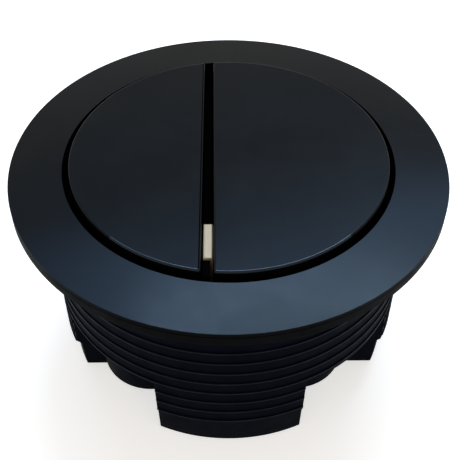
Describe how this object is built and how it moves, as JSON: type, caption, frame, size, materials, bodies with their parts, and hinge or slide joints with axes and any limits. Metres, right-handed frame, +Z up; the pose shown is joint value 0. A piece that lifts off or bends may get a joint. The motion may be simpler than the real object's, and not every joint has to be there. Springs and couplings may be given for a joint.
{
  "type": "push button cistern actuator",
  "caption": "Round dual-flush push button for a cistern lid: satin black flange, two D-shaped sprung buttons, threaded skirt with legs and push-rod sockets.",
  "frame": {"origin": "centre of the flange's underside, where the cistern lid sits", "axes": "+Z up along the thread's axis, towards the buttons; front is -Y, the half-flush button is at -X and the full-flush button at +X"},
  "size_m": [0.068, 0.068, 0.0374],
  "materials": {
    "satin_black_paint": "satin black paint on moulded plastic",
    "black_moulding": "as-moulded black plastic, slightly bluish",
    "ivory_moulding": "plain ivory plastic",
    "spring_steel": "plain drawn stainless wire"
  },
  "bodies": {
    "housing": {"bezel": "satin_black_paint", "threaded_body": "black_moulding", "guide_deck": "black_moulding", "gap_insert": "ivory_moulding", "half_flush_sleeve": "black_moulding", "full_flush_sleeve": "black_moulding", "half_flush_spring": "spring_steel", "full_flush_spring": "spring_steel"},
    "half_button": {"half_flush_cap": "satin_black_paint", "half_flush_carrier": "black_moulding"},
    "full_button": {"full_flush_cap": "satin_black_paint", "full_flush_carrier": "black_moulding"}
  },
  "joints": [
    {"name": "half_press", "type": "slide", "parent": "housing", "child": "half_button", "axis": [0, 0, -1], "range_m": [0, 0.006], "stiffness_N_per_m": 300, "springref_m": -0.008, "deforming": ["half_flush_spring"]},
    {"name": "full_press", "type": "slide", "parent": "housing", "child": "full_button", "axis": [0, 0, -1], "range_m": [0, 0.006], "stiffness_N_per_m": 300, "springref_m": -0.008, "deforming": ["full_flush_spring"]}
  ]
}
